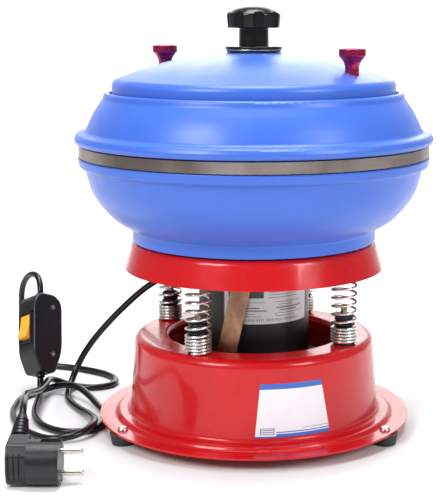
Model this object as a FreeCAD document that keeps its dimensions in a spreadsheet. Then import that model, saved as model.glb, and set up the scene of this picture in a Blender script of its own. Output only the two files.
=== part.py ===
import FreeCAD, Part
import math
import os
import Sketcher

V = FreeCAD.Vector

# Vibratory bowl tumbler.  +Z is up, the origin is on the floor under the centre of the base,
# and -Y is the front.  All sizes are millimetres.
SIZES = {
    # base
    "sheet_steel": 2.0,
    "foot_height": 11.0,
    "foot_radius": 12.0,
    "foot_circle": 138.0,
    "foot_count": 3,
    "flange_radius": 147.0,
    "base_foot_radius": 117.6,
    "base_shoulder_radius": 112.6,
    "base_top": 89.0,
    "base_opening_radius": 80.5,
    # springs and buffers
    "spring_circle": 96.0,
    "spring_radius": 10.95,
    "spring_wire": 2.6,
    "spring_count": 4,
    "closed_turns": 5,
    "open_turns": 9.5,
    "buffer_radius": 9.2,
    "buffer_height": 29.0,
    # dish, motor and rotor
    "dish_top": 178.0,
    "dish_bottom": 153.0,
    "dish_top_radius": 113.8,
    "dish_skirt_radius": 121.3,
    "motor_radius": 52.0,
    "motor_bottom": 58.0,
    "motor_top": 170.0,
    "shaft_radius": 6.0,
    "strap_width": 18.0,
    "strap_thickness": 2.5,
    "strap_circle": 66.0,
    "strap_slant": 26.0,
    "strap_count": 2,
    # bowl, cover ring, band and lid
    "bowl_bottom": 183.0,
    "bowl_foot_radius": 114.0,
    "bowl_rim": 263.0,
    "joint_radius": 160.4,
    "band_bottom": 258.2,
    "band_top": 268.9,
    "band_radius": 161.8,
    "bead_radius": 165.3,
    "cover_rim": 316.0,
    "lid_radius": 130.5,
    "lid_bottom": 312.0,
    "lid_crown": 351.8,
    "lid_knob_circle": 106.0,
    "lid_knob_radius": 12.0,
    "lid_knob_top": 356.6,
    # stud and star knob
    "stud_radius": 4.0,
    "stud_top": 391.0,
    "washer_radius": 26.2,
    "knob_bottom": 357.4,
    "knob_column_radius": 13.8,
    "knob_head_radius": 24.7,
    "knob_top": 394.0,
    "knob_flutes": 8,
    # cord, switch and plug
    "cord_radius": 3.3,
    "switch_length": 84.0,
    "switch_width": 37.0,
    "switch_depth": 28.0,
    "plug_radius": 19.0,
    "plug_pin_radius": 2.4,
    "plug_pin_gap": 19.0,
}

doc = FreeCAD.newDocument("tumbler")
sheet = doc.addObject("Spreadsheet::Sheet", "Sizes")
for row, (word, number) in enumerate(SIZES.items(), start=1):
    sheet.set(f"A{row}", word)
    sheet.set(f"B{row}", str(number))
    sheet.setAlias(f"B{row}", word)
doc.recompute()


class Size:
    """A length that knows its number and the spreadsheet expression that gives it."""

    def __init__(self, value, text):
        self.value = float(value)
        self.text = text

    def __add__(self, other):
        return Size(self.value + number_of(other), f"({self.text} + {text_of(other)})")

    def __sub__(self, other):
        return Size(self.value - number_of(other), f"({self.text} - {text_of(other)})")

    def __mul__(self, factor):
        return Size(self.value * factor, f"({self.text} * {factor})")

    def __neg__(self):
        return self * -1


def number_of(size):
    return size.value if isinstance(size, Size) else float(size)


def text_of(size):
    return size.text if isinstance(size, Size) else str(size)


def size(word):
    return Size(SIZES[word], f"Sizes.{word}")


def bind(thing, name, amount):
    """Set a property and tie it to the spreadsheet."""
    if isinstance(amount, Size):
        thing.setExpression(name, amount.text)
    elif hasattr(thing, name):
        setattr(thing, name, amount)


# ---------------------------------------------------------------- sketches and features


def origin_part(body, role):
    return next(part for part in body.Origin.OriginFeatures if part.Role == role)


def new_body(label):
    body = doc.addObject("PartDesign::Body", label)
    body.Label = label
    body.AllowCompound = True
    return body


def new_sketch(body, name, role="XZ_Plane", shift=(0, 0, 0)):
    """A sketch on one of the body's own origin planes, shifted in that plane's axes."""
    sketch = body.newObject("Sketcher::SketchObject", f"{body.Name}_{name}")
    sketch.AttachmentSupport = [(origin_part(body, role), "")]
    sketch.MapMode = "FlatFace"
    offset = V(*[number_of(part) for part in shift])
    sketch.AttachmentOffset = FreeCAD.Placement(offset, FreeCAD.Rotation())
    for axis, part in zip("xyz", shift):
        if isinstance(part, Size):
            sketch.setExpression(f"AttachmentOffset.Base.{axis}", part.text)
    return sketch


def pin_down(sketch, geometry, place, x, y):
    """Hold a sketch point at (x, y) from the sketch's origin."""
    for kind, axis, amount in (("DistanceX", -2, x), ("DistanceY", -1, y)):
        if number_of(amount) == 0:
            sketch.addConstraint(Sketcher.Constraint("PointOnObject", geometry, place, axis))
            continue
        index = sketch.addConstraint(
            Sketcher.Constraint(kind, -1, 1, geometry, place, number_of(amount))
        )
        if isinstance(amount, Size):
            sketch.setExpression(f"Constraints[{index}]", amount.text)


def draw_outline(sketch, corners):
    """Closed outline through corners (x, y) or (x, y, rounding radius)."""
    points = [V(number_of(c[0]), number_of(c[1]), 0) for c in corners]
    radii = [number_of(c[2]) if len(c) > 2 else 0.0 for c in corners]
    count = len(points)
    trims, turns, bisectors = [], [], []
    for i in range(count):
        back = (points[i - 1] - points[i]).normalize()
        ahead = (points[(i + 1) % count] - points[i]).normalize()
        half = back.getAngle(ahead) / 2
        trims.append(radii[i] / math.tan(half) if radii[i] else 0.0)
        turns.append(back.cross(ahead).z)
        bisectors.append((back + ahead, half))
    base = sketch.GeometryCount
    for i in range(count):
        start, end = points[i], points[(i + 1) % count]
        along = (end - start).normalize()
        sketch.addGeometry(
            Part.LineSegment(start + along * trims[i], end - along * trims[(i + 1) % count]), False
        )
    for i, corner in enumerate(corners):
        line_in, line_out = base + (i - 1) % count, base + i
        if not radii[i]:
            sketch.addConstraint(Sketcher.Constraint("Coincident", line_in, 2, line_out, 1))
            pin_down(sketch, line_out, 1, corner[0], corner[1])
            continue
        towards, half = bisectors[i]
        centre = points[i] + towards.normalize() * (radii[i] / math.sin(half))
        start = sketch.getPoint(line_in, 2) - centre
        end = sketch.getPoint(line_out, 1) - centre
        clockwise = turns[i] > 0
        first, last = (end, start) if clockwise else (start, end)
        circle = Part.Circle(centre, V(0, 0, 1), radii[i])
        low = math.atan2(first.y, first.x)
        high = math.atan2(last.y, last.x)
        if high < low:
            high += 2 * math.pi
        arc = sketch.addGeometry(Part.ArcOfCircle(circle, low, high), False)
        at_start, at_end = (2, 1) if clockwise else (1, 2)
        apex = sketch.addGeometry(Part.Point(points[i]), True)
        sketch.addConstraint(Sketcher.Constraint("Tangent", line_in, 2, arc, at_start))
        sketch.addConstraint(Sketcher.Constraint("Tangent", arc, at_end, line_out, 1))
        sketch.addConstraint(Sketcher.Constraint("PointOnObject", apex, 1, line_in))
        sketch.addConstraint(Sketcher.Constraint("PointOnObject", apex, 1, line_out))
        pin_down(sketch, apex, 1, corner[0], corner[1])
        index = sketch.addConstraint(Sketcher.Constraint("Radius", arc, radii[i]))
        if isinstance(corner[2], Size):
            sketch.setExpression(f"Constraints[{index}]", corner[2].text)


def draw_circle(sketch, x, y, radius):
    circle = sketch.addGeometry(
        Part.Circle(V(number_of(x), number_of(y), 0), V(0, 0, 1), number_of(radius)), False
    )
    pin_down(sketch, circle, 3, x, y)
    index = sketch.addConstraint(Sketcher.Constraint("Radius", circle, number_of(radius)))
    if isinstance(radius, Size):
        sketch.setExpression(f"Constraints[{index}]", radius.text)


def revolve(body, name, corners, across=0, angle=360):
    """Turn an (r, z) outline about the vertical line at x = across."""
    sketch = new_sketch(body, name, "XZ_Plane", (across, 0, 0))
    draw_outline(sketch, corners)
    turned = body.newObject("PartDesign::Revolution", f"{body.Name}_{name}_turned")
    turned.Profile = sketch
    turned.ReferenceAxis = (sketch, ["V_Axis"])
    turned.Angle = angle
    return turned


def pad(body, name, draw, length, role="XY_Plane", shift=(0, 0, 0), middle=False):
    """Extrude what draw puts in a sketch by length along the plane's normal."""
    sketch = new_sketch(body, name, role, shift)
    draw(sketch)
    solid = body.newObject("PartDesign::Pad", f"{body.Name}_{name}_pad")
    solid.Profile = sketch
    solid.Length = number_of(length)
    bind(solid, "Length", length)
    if middle:
        solid.SideType = "Symmetric"
    return solid


def cut_through(body, name, draw, role="XY_Plane", shift=(0, 0, 0), depth=None):
    """Cut what draw puts in a sketch: right through, or to a depth against the plane's normal."""
    doc.recompute()
    before = body.Shape.Volume
    sketch = new_sketch(body, name, role, shift)
    draw(sketch)
    cut = body.newObject("PartDesign::Pocket", f"{body.Name}_{name}_cut")
    cut.Profile = sketch
    if depth is None:
        cut.Type = "ThroughAll"
        cut.SideType = "Symmetric"
    else:
        cut.Length = number_of(depth)
        bind(cut, "Length", depth)
    doc.recompute()
    if body.Shape.Volume > before - 0.01:
        raise ValueError(f"{body.Label} {name} cut nothing")
    return cut


def repeat_round(body, features, count):
    """Repeat features evenly round the body's Z axis."""
    pattern = body.newObject("PartDesign::PolarPattern", f"{body.Name}_round")
    pattern.Originals = features
    pattern.Axis = (origin_part(body, "Z_Axis"), [""])
    pattern.Angle = 360
    pattern.Occurrences = int(number_of(count))
    bind(pattern, "Occurrences", count)
    body.Tip = pattern
    return pattern


def turn_about_z(body, degrees):
    body.Placement = FreeCAD.Placement(V(), FreeCAD.Rotation(V(0, 0, 1), degrees))


def round_places(x, y, count, first):
    """Positions of (x, y) turned about Z by the first angle and then repeated evenly."""
    places = []
    for k in range(int(count)):
        angle = math.radians(first + 360.0 * k / count)
        c, s = round(math.cos(angle), 6), round(math.sin(angle), 6)
        places.append((x * c - y * s, x * s + y * c))
    return places


def strap_bolt_place():
    """Where the front strap's upper bolt stands before the straps are turned to their bearing."""
    return size("strap_slant") * 0.5, -(size("strap_circle") + 10)


def box_outline(x0, x1, y0, y1, rounding=0):
    corners = [(x0, y0), (x1, y0), (x1, y1), (x0, y1)]
    return [(x, y, rounding) if rounding else (x, y) for x, y in corners]


def ring(label, inner, outer, low, high, rounding=0):
    """A plain ring or sleeve about the Z axis."""
    body = new_body(label)
    revolve(body, "section", box_outline(inner, outer, low, high, rounding))
    return body


def hexagon(sketch, width, x=0, y=0):
    """A hexagon of the given width across flats, with an optional centre."""
    reach = width / math.sqrt(3)
    corners = []
    for k in range(6):
        angle = math.radians(60 * k + 30)
        corners.append((round(x + reach * math.cos(angle), 6), round(y + reach * math.sin(angle), 6)))
    draw_outline(sketch, corners)


def azimuth(degrees_from_front):
    """Turn a bearing from the front (towards +X) into an angle about Z from +X."""
    return degrees_from_front - 90.0


SPRING_BEARING = -31.0
FOOT_BEARING = 60.0
STRAP_BEARING = -14.5
LID_KNOB_ANGLE = -36.0
LABEL_BEARINGS = (-32.0, 66.0)
STICKER_BEARINGS = (0.4, 35.0)

sheet_steel = size("sheet_steel")
parts = []


def keep(piece):
    parts.append(piece)
    return piece


# ---------------------------------------------------------------- base


def base_shell():
    """Pressed steel drum: flat flange, raised ring, tapered wall, flat top and turned-in lip."""
    body = new_body("base_shell")
    low = size("foot_height")
    top = size("base_top")
    flange = size("flange_radius")
    foot = size("base_foot_radius")
    shoulder = size("base_shoulder_radius")
    opening = size("base_opening_radius")
    steel = sheet_steel
    revolve(body, "section", [
        (flange, low),
        (flange, low + steel),
        (foot + 14, low + steel, 3),
        (foot + 11.5, low + steel * 2.9, 2.5),
        (foot + 0.3, low + steel * 2.9, 4),
        (shoulder, top, 7.5),
        (opening, top, 5),
        (opening, top - 11),
        (opening + steel, top - 11),
        (opening + steel, top - steel, 3),
        (shoulder - steel, top - steel, 5.5),
        (foot - 1.7, low + steel * 1.9, 9),
        (foot + 10.5, low + steel * 1.9, 1.2),
        (foot + 13.4, low, 3),
    ])

    def holes(sketch):
        for count, circle, radius, bearing in (
            ("foot_count", "foot_circle", 2.75, FOOT_BEARING),
            ("spring_count", "spring_circle", 3.2, SPRING_BEARING),
        ):
            middle = Size(0, "0")
            for x, y in round_places(size(circle), middle, SIZES[count], azimuth(bearing)):
                draw_circle(sketch, x, y, radius)

    cut_through(body, "holes", holes)
    return body


def feet():
    """Tapered rubber feet with a recess for the nut."""
    body = new_body("rubber_feet")
    high = size("foot_height")
    radius = size("foot_radius")
    turned = revolve(body, "section", [
        (2.8, 5), (5.2, 5), (5.2, 0), (radius - 2, 0, 1.5), (radius, high), (2.8, high),
    ], across=size("foot_circle"))
    repeat_round(body, [turned], size("foot_count"))
    turn_about_z(body, azimuth(FOOT_BEARING))
    return body


def foot_screws():
    """Pan-head screws through the flange into the feet."""
    body = new_body("foot_screws")
    seat = size("foot_height") + sheet_steel
    turned = revolve(body, "section", [
        (0, 1.2), (2.5, 1.2), (2.5, seat), (4.8, seat), (4.8, seat + 1.1, 0.6),
        (3.6, seat + 2.9, 1.5), (0, seat + 3.1),
    ], across=size("foot_circle"))

    def slots(sketch):
        x = size("foot_circle")
        draw_outline(sketch, box_outline(x - 2.6, x + 2.6, -0.45, 0.45))

    slot = cut_through(body, "slot", slots, shift=(0, 0, seat + 4), depth=2.2)
    repeat_round(body, [turned, slot], size("foot_count"))
    turn_about_z(body, azimuth(FOOT_BEARING))
    return body


def foot_nuts():
    """Nuts held in the feet."""
    body = new_body("foot_nuts")
    circle = size("foot_circle")

    def section(sketch):
        hexagon(sketch, 8.0, SIZES["foot_circle"], 0)
        draw_circle(sketch, circle, 0, 2.55)

    nut = pad(body, "nut", section, 3.2, shift=(0, 0, 1.6))
    repeat_round(body, [nut], size("foot_count"))
    turn_about_z(body, azimuth(FOOT_BEARING))
    return body


def base_sticker():
    """Printed film on the drum's wall, bent to its taper."""
    body = new_body("base_sticker")
    foot = SIZES["base_foot_radius"]
    slope = (SIZES["base_shoulder_radius"] - foot - 0.3) / (SIZES["base_top"] - 16.8)
    low, high, film = 21.2, 69.0, 0.25

    def wall(z):
        return foot + 0.3 + slope * (z - 16.8) + 0.02

    start, end = STICKER_BEARINGS
    revolve(body, "section", [
        (wall(low), low), (wall(low) + film, low), (wall(high) + film, high), (wall(high), high),
    ], angle=end - start)
    turn_about_z(body, azimuth(start))
    return body


def spring_buffers():
    """Ribbed rubber bump stops standing inside the springs."""
    body = new_body("spring_buffers")
    wide = size("buffer_radius")
    low = size("base_top")
    rib = size("buffer_height") * 0.25
    corners = [(3.1, low), (wide, low)]
    for k in range(3):
        foot = low + rib * k
        corners += [(wide - 0.2 * k, foot + rib * 0.6, 1), (wide - 1.9 - 0.2 * k, foot + rib * 0.85, 0.6)]
    corners += [(wide - 0.6, low + rib * 3.3, 1), (wide - 1.2, low + rib * 3.75, 1.2)]
    corners += [(5.2, low + rib * 4, 1), (3.1, low + rib * 4)]
    turned = revolve(body, "section", corners, across=size("spring_circle"))
    repeat_round(body, [turned], size("spring_count"))
    turn_about_z(body, azimuth(SPRING_BEARING))
    return body


def buffer_bolts():
    """Bolts up through the drum's top and the buffers, their tips showing above the rubber."""
    body = new_body("buffer_bolts")
    under = size("base_top") - sheet_steel
    tip = size("base_top") + size("buffer_height") + 7
    turned = revolve(body, "section", [
        (0, under - 4), (5.4, under - 4, 0.6), (5.4, under), (3.0, under), (3.0, tip, 0.6), (0, tip),
    ], across=size("spring_circle"))
    repeat_round(body, [turned], size("spring_count"))
    turn_about_z(body, azimuth(SPRING_BEARING))
    return body


def coil_points(radius, low, high, pitch, closed, turns):
    """Points along a coil: closed turns of the given pitch, then open turns up to the top."""
    steps = 24
    count = int(round(turns * steps))
    climb = []
    for i in range(count):
        t = (i + 0.5) / steps
        opening = min(max(t - closed + 0.5, 0.0), 1.0)
        closing = min(max(turns - 0.6 - t + 0.5, 0.0), 1.0)
        climb.append(opening * closing)
    spare = (high - low) - pitch * turns
    points, z = [], low
    for i in range(count + 1):
        angle = 2 * math.pi * i / steps
        points.append(V(radius * math.cos(angle), radius * math.sin(angle), z))
        if i < count:
            z += pitch / steps + spare * climb[i] / sum(climb)
    return points


def suspension_springs():
    """Four compression springs: closed coils round the buffer, open coils up to the dish."""
    radius, wire = SIZES["spring_radius"], SIZES["spring_wire"]
    low = SIZES["base_top"] + wire / 2 + 0.1
    high = SIZES["dish_top"] - sheet_steel.value - wire / 2 - 0.15
    closed = SIZES["closed_turns"]
    turns = closed + SIZES["open_turns"]
    points = coil_points(radius, low, high, wire + 0.35, closed, turns)
    line = Part.BSplineCurve()
    line.interpolate(points)
    section = Part.Wire(Part.Circle(points[0], line.tangent(line.FirstParameter)[0], wire / 2).toShape())
    sweep = Part.BRepOffsetAPI.MakePipeShell(Part.Wire(line.toShape()))
    sweep.setFrenetMode(True)
    sweep.add(section)
    sweep.build()
    sweep.makeSolid()
    spring = sweep.shape()
    expected = math.pi * (wire / 2) ** 2 * line.length()
    print("spring volume", round(spring.Volume, 1), "expected", round(expected, 1))
    spring.translate(V(SIZES["spring_circle"], 0, 0))
    count = int(SIZES["spring_count"])
    springs = []
    for k in range(count):
        one = spring.copy()
        one.rotate(V(), V(0, 0, 1), azimuth(SPRING_BEARING) + 360.0 * k / count)
        springs.append(one)
    feature = doc.addObject("Part::Feature", "suspension_springs")
    feature.Label = "suspension_springs"
    feature.Shape = Part.makeCompound(springs)
    feature.Placement = FreeCAD.Placement()
    return feature


# ---------------------------------------------------------------- dish, motor and rotor


def support_dish():
    """Inverted pressed pan that carries the bowl above and the motor below."""
    body = new_body("support_dish")
    top, low = size("dish_top"), size("dish_bottom")
    edge, skirt = size("dish_top_radius"), size("dish_skirt_radius")
    steel = sheet_steel
    revolve(body, "section", [
        (4.3, top), (edge, top, 6), (skirt, low), (skirt - steel, low),
        (edge - steel * 1.1, top - steel, 4), (4.3, top - steel),
    ])

    def holes(sketch):
        places = round_places(size("spring_circle"), Size(0, "0"),
                              int(SIZES["spring_count"]), azimuth(SPRING_BEARING))
        places += round_places(*strap_bolt_place(), SIZES["strap_count"], STRAP_BEARING)
        places += round_places(Size(30, "30"), Size(0, "0"), 4, 45)
        for x, y in places:
            draw_circle(sketch, x, y, 2.6)

    cut_through(body, "holes", holes)
    return body


def spring_guides():
    """Pegs under the dish that centre the springs' upper ends, with their rivet heads above."""
    body = new_body("spring_guides")
    top = size("dish_top")
    under = top - sheet_steel
    turned = revolve(body, "section", [
        (0, under - 9), (7.0, under - 9, 1.5), (8.2, under - 5), (8.2, under), (2.5, under),
        (2.5, top), (4.6, top), (4.6, top + 1.5, 1), (0, top + 2.4),
    ], across=size("spring_circle"))
    repeat_round(body, [turned], size("spring_count"))
    turn_about_z(body, azimuth(SPRING_BEARING))
    return body


def motor_straps():
    """Slanting flat straps from the dish down to the motor's lower end bell."""
    body = new_body("motor_straps")
    reach = size("strap_circle")
    thick = size("strap_thickness")
    half = SIZES["strap_width"] / 2
    lean = size("strap_slant") * 0.5
    under = size("dish_top") - sheet_steel
    low = size("motor_bottom") + 4

    def leg(sketch):
        draw_outline(sketch, [
            (-lean - half, low), (-lean + half, low), (lean + half, under), (lean - half, under),
        ])

    def top_tab(sketch):
        draw_outline(sketch, box_outline(lean - half, lean + half, -reach - 17, -reach))

    def low_tab(sketch):
        draw_outline(sketch, box_outline(-lean - half, -lean + half, -reach - thick, -reach + 13.5))

    plate = pad(body, "leg", leg, thick, role="XZ_Plane", shift=(0, 0, reach))
    upper = pad(body, "top_tab", top_tab, thick, shift=(0, 0, under - thick))
    lower = pad(body, "low_tab", low_tab, thick, shift=(0, 0, low))
    top_hole = cut_through(body, "top_hole", lambda s: draw_circle(s, lean, -reach - 10, 2.6),
                           shift=(0, 0, under + 1), depth=8)
    low_hole = cut_through(body, "low_hole", lambda s: draw_circle(s, -lean, -reach + 8, 2.6),
                           shift=(0, 0, low + 6), depth=8)
    repeat_round(body, [plate, upper, lower, top_hole, low_hole], size("strap_count"))
    turn_about_z(body, STRAP_BEARING)
    return body


def strap_bolts():
    """Hexagon bolts holding the straps to the dish and to the motor's lower end bell."""
    body = new_body("strap_bolts")
    thick = size("strap_thickness")
    x, y = strap_bolt_place()
    under = size("dish_top") - sheet_steel - thick
    low = size("motor_bottom") + 4
    y_low = -size("strap_circle") + 8
    pieces = [
        pad(body, "upper_head", lambda s: hexagon(s, 8, x.value, y.value), 3.2,
            shift=(0, 0, under - 3.2)),
        pad(body, "upper_shank", lambda s: draw_circle(s, x, y, 2.5), thick + 7.5,
            shift=(0, 0, under - 0.2)),
        pad(body, "lower_head", lambda s: hexagon(s, 8, -x.value, y_low.value), 3.2,
            shift=(0, 0, low - 3.2)),
        pad(body, "lower_shank", lambda s: draw_circle(s, -x, y_low, 2.5), thick + 7.2,
            shift=(0, 0, low - 0.2)),
    ]
    repeat_round(body, pieces, size("strap_count"))
    turn_about_z(body, STRAP_BEARING)
    return body


def strap_nuts():
    """Nuts on the strap bolts: above the dish and above the motor's lower flange."""
    body = new_body("strap_nuts")
    x, y = strap_bolt_place()
    y_low = -size("strap_circle") + 8

    def upper(sketch):
        hexagon(sketch, 8, x.value, y.value)
        draw_circle(sketch, x, y, 2.53)

    def lower(sketch):
        hexagon(sketch, 8, -x.value, y_low.value)
        draw_circle(sketch, -x, y_low, 2.53)

    flange = size("motor_bottom") + size("strap_thickness") + 7
    pieces = [
        pad(body, "upper", upper, 4, shift=(0, 0, size("dish_top"))),
        pad(body, "lower", lower, 3, shift=(0, 0, flange)),
    ]
    repeat_round(body, pieces, size("strap_count"))
    turn_about_z(body, STRAP_BEARING)
    return body


def motor_bolts():
    """Screws through the dish into the motor's top bell, with the heads above the dish."""
    body = new_body("motor_bolts")
    top = size("dish_top")
    turned = revolve(body, "section", [
        (0, top - 18), (2.5, top - 18), (2.5, top), (4.4, top), (4.4, top + 2.6, 0.8), (0, top + 2.6),
    ], across=30)
    repeat_round(body, [turned], 4)
    turn_about_z(body, 45)
    return body


def motor_top_bell():
    body = new_body("motor_top_bell")
    top, wall = size("motor_top"), size("motor_radius")
    revolve(body, "section", [
        (8, top - 5), (8, top), (wall - 4, top, 3), (wall, top - 6, 4), (wall, top - 14),
        (wall - 3, top - 14), (wall - 3, top - 8, 3), (20, top - 8), (20, top - 17), (16, top - 17),
        (16, top - 5),
    ])

    def holes(sketch):
        for x, y in round_places(Size(30, "30"), Size(0, "0"), 4, 45):
            draw_circle(sketch, x, y, 2.55)

    cut_through(body, "holes", holes)
    return body


def motor_bottom_bell():
    body = new_body("motor_bottom_bell")
    low, wall = size("motor_bottom"), size("motor_radius")
    strap = size("strap_thickness")
    revolve(body, "section", [
        (8, low), (22, low, 2), (22, low + 4 + strap, 1), (wall + 11, low + 4 + strap),
        (wall + 11, low + 7 + strap), (wall, low + 7 + strap), (wall, low + 14), (wall - 3, low + 14),
        (wall - 3, low + 9.5, 2), (20, low + 9.5), (20, low + 16), (16, low + 16), (16, low + 4),
        (8, low + 4),
    ])
    x, y = size("strap_slant") * -0.5, -size("strap_circle") + 8

    def holes(sketch):
        for place in round_places(x, y, SIZES["strap_count"], STRAP_BEARING):
            draw_circle(sketch, *place, 2.6)

    cut_through(body, "holes", holes)
    return body


def motor_housing():
    """Rolled steel can between the two end bells, with a hole for the cord's gland."""
    wall = size("motor_radius")
    body = ring("motor_housing", wall - 1.5, wall, size("motor_bottom") + 14, size("motor_top") - 14)
    cut_through(body, "cord_hole", lambda s: draw_circle(s, 0, GLAND_SEAT[2], 7), role="XZ_Plane",
                shift=(0, 0, 60), depth=20)
    turn_about_z(body, 225)
    return body


def motor_label():
    """Rating-plate film on the front of the motor."""
    body = new_body("motor_label")
    wall = size("motor_radius")
    start, end = LABEL_BEARINGS
    revolve(body, "section", box_outline(wall + 0.02, wall + 0.27, 107, 148), angle=end - start)
    turn_about_z(body, azimuth(start))
    return body


def motor_stator():
    """Laminated ring with inward teeth."""
    body = new_body("motor_stator")
    wall = size("motor_radius")

    def section(sketch):
        draw_circle(sketch, 0, 0, wall - 1.6)
        draw_circle(sketch, 0, 0, 28.2)

    pad(body, "stack", section, 55, shift=(0, 0, 86))

    def slot(sketch):
        draw_outline(sketch, [(27, -2), (40, -4, 1), (40, 4, 1), (27, 2)])

    slots = cut_through(body, "slot", slot)
    repeat_round(body, [slots], 12)
    return body


def motor_windings():
    """Copper end turns above and below the laminations."""
    body = new_body("motor_windings")
    revolve(body, "upper", box_outline(30, 46, 141, 151, 3.5))
    revolve(body, "lower", box_outline(30, 46, 76, 86, 3.5))
    return body


def motor_bearings():
    """Two ball bearings, drawn as solid rings."""
    body = new_body("motor_bearings")
    bore = size("shaft_radius") + 0.05
    top, low = size("motor_top"), size("motor_bottom")
    revolve(body, "upper", box_outline(bore, 15.95, top - 16, top - 5, 0.5))
    revolve(body, "lower", box_outline(bore, 15.95, low + 4, low + 15, 0.5))
    return body


def motor_pad():
    """Rubber ring between the motor's top and the dish."""
    body = new_body("motor_pad")
    under = size("dish_top") - sheet_steel
    revolve(body, "section", box_outline(20, 42, size("motor_top"), under, 0.6))

    def holes(sketch):
        for x, y in round_places(Size(30, "30"), Size(0, "0"), 4, 45):
            draw_circle(sketch, x, y, 2.6)

    cut_through(body, "holes", holes)
    return body


def rotor_core():
    """Squirrel-cage rotor."""
    body = new_body("rotor_core")
    bore = size("shaft_radius") + 0.02
    revolve(body, "section", [
        (bore, 84), (22, 84, 2), (22, 87), (27.6, 87), (27.6, 140), (22, 140), (22, 143, 2), (bore, 143),
    ])
    return body


def motor_shaft():
    body = new_body("motor_shaft")
    radius = size("shaft_radius")
    revolve(body, "section", [
        (0, 33), (radius, 33, 0.8), (radius, size("motor_top") - 5.4, 0.6), (0, size("motor_top") - 5.4),
    ])
    return body


def eccentric_weight():
    """Half-round steel weight on the shaft below the motor."""
    body = new_body("eccentric_weight")
    bore = size("shaft_radius") + 0.02

    def section(sketch):
        draw_outline(sketch, [
            (-34, 4, 3), (-16, 4, 4), (-12, 12, 5), (12, 12, 5), (16, 4, 4), (34, 4, 3),
            (31, -16, 12), (16, -32, 14), (-16, -32, 14), (-31, -16, 12),
        ])
        draw_circle(sketch, 0, 0, bore)

    pad(body, "plate", section, 13, shift=(0, 0, 40))
    return body


def weight_nut():
    """Nut that holds the weight on the shaft's lower end."""
    body = new_body("weight_nut")

    def section(sketch):
        hexagon(sketch, 18)
        draw_circle(sketch, 0, 0, size("shaft_radius") + 0.02)

    pad(body, "nut", section, 5, shift=(0, 0, 35))
    return body


def cord_gland():
    """Tapered rubber strain relief in the side of the motor, pointing back and down the cord."""
    body = new_body("cord_gland")
    cord = size("cord_radius")
    revolve(body, "section", [
        (0, -1.4), (6.9, -1.4), (6.9, 0), (8.5, 0), (8.5, 3, 1), (cord + 2.8, 4.5, 1),
        (cord + 1.1, 31, 0.6), (cord, 31), (cord, 30), (0, 30),
    ])
    place = V(*GLAND_SEAT)
    body.Placement = FreeCAD.Placement(place, FreeCAD.Rotation(V(0, 0, 1), V(*GLAND_AXIS)))
    return body


# ---------------------------------------------------------------- bowl, cover ring, band and lid


def bowl():
    """Moulded bowl: foot ring, bulging wall, lip, rim flange and a hollow centre post."""
    body = new_body("bowl")
    low, foot = size("bowl_bottom"), size("bowl_foot_radius")
    rim, joint = size("bowl_rim"), size("joint_radius")
    revolve(body, "section", [
        (9, rim - 1), (11.5, low + 23, 8), (26, low + 8.5, 10), (foot - 8, low + 8.5, 1),
        (foot - 8, low, 1), (foot - 3.2, low), (foot - 3.2, low - 3.6), (foot - 0.2, low - 3.6, 0.8),
        (foot - 0.2, low + 7.6, 3), (131, low + 16.8, 60),
        (149.8, low + 39, 55), (156.6, low + 64.2, 3), (joint + 1.2, rim - 13.4, 2.5),
        (joint + 2.2, rim - 5.4, 1), (joint - 3.2, rim - 5.2, 0.5), (joint - 3.2, rim - 3.4),
        (joint, rim - 3.4), (joint, rim), (153, rim), (152.4, low + 64, 4), (145.6, low + 41, 52),
        (128.4, low + 20.8, 56), (112, low + 12.5, 20), (28, low + 12.5, 8), (15.8, low + 24, 8),
        (13, rim - 1),
    ])
    return body


def bowl_gasket():
    """Rubber ring between the dish and the bowl's foot."""
    foot = size("bowl_foot_radius")
    return ring("bowl_gasket", foot - 10, foot - 3.5, size("dish_top"), size("bowl_bottom"), 1)


def bowl_seal():
    """Rubber ring squeezed between the bowl's rim and the cover ring."""
    rim, joint = size("bowl_rim"), size("joint_radius")
    return ring("bowl_seal", joint - 7, joint - 0.2, rim, rim + 1.2)


def bowl_cover():
    """Upper half of the bowl: clamping flange, rolled bead, sloping wall and rolled mouth."""
    body = new_body("bowl_cover")
    low = size("bowl_rim") + 1.2
    joint, bead, top = size("joint_radius"), size("bead_radius"), size("cover_rim")
    revolve(body, "section", [
        (joint, low), (joint, low + 3.3), (joint - 3.2, low + 3.3), (joint - 3.2, low + 5.4),
        (bead - 1.2, low + 5.6, 2.2), (bead + 0.4, low + 10, 3), (bead - 1.5, low + 14.6, 3.2),
        (155.6, low + 16.6, 3), (147.8, low + 33.8, 70), (138.8, top - 5.5, 4), (137.6, top, 3),
        (133.0, top, 1.6), (132.4, top - 6.5), (123.5, top - 6.5, 1), (123.5, top - 9.5, 1),
        (134.5, top - 9.5, 3), (144, low + 32, 60), (153, low + 12, 8), (153, low),
    ])
    return body


def clamp_band():
    """Stainless band with small inner lips, split and lugged at the back."""
    body = new_body("clamp_band")
    low, top, outer = size("band_bottom"), size("band_top"), size("band_radius")
    thick = 1.2
    revolve(body, "section", [
        (outer - 3.6, low), (outer, low, 0.5), (outer, top, 0.5), (outer - 3.6, top),
        (outer - 3.6, top - thick), (outer - thick, top - thick), (outer - thick, low + thick),
        (outer - 3.6, low + thick),
    ])
    gap = 4.0
    cut_through(body, "gap", lambda s: draw_outline(s, box_outline(-gap, gap, outer - 6, outer + 6)),
                shift=(0, 0, top + 2), depth=16)
    for name, near, far in (("left_lug", -gap - 3, -gap), ("right_lug", gap, gap + 3)):
        pad(body, name, lambda s: draw_outline(s, box_outline(near, far, outer - 1, outer + 7)),
            top - low - 1, shift=(0, 0, low + 0.5))

    def bolt_hole(sketch):
        draw_circle(sketch, outer + 3.4, (low + top) * 0.5, 2.1)

    cut_through(body, "bolt_hole", bolt_hole, role="YZ_Plane", shift=(0, 0, 12), depth=24)
    return body


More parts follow.
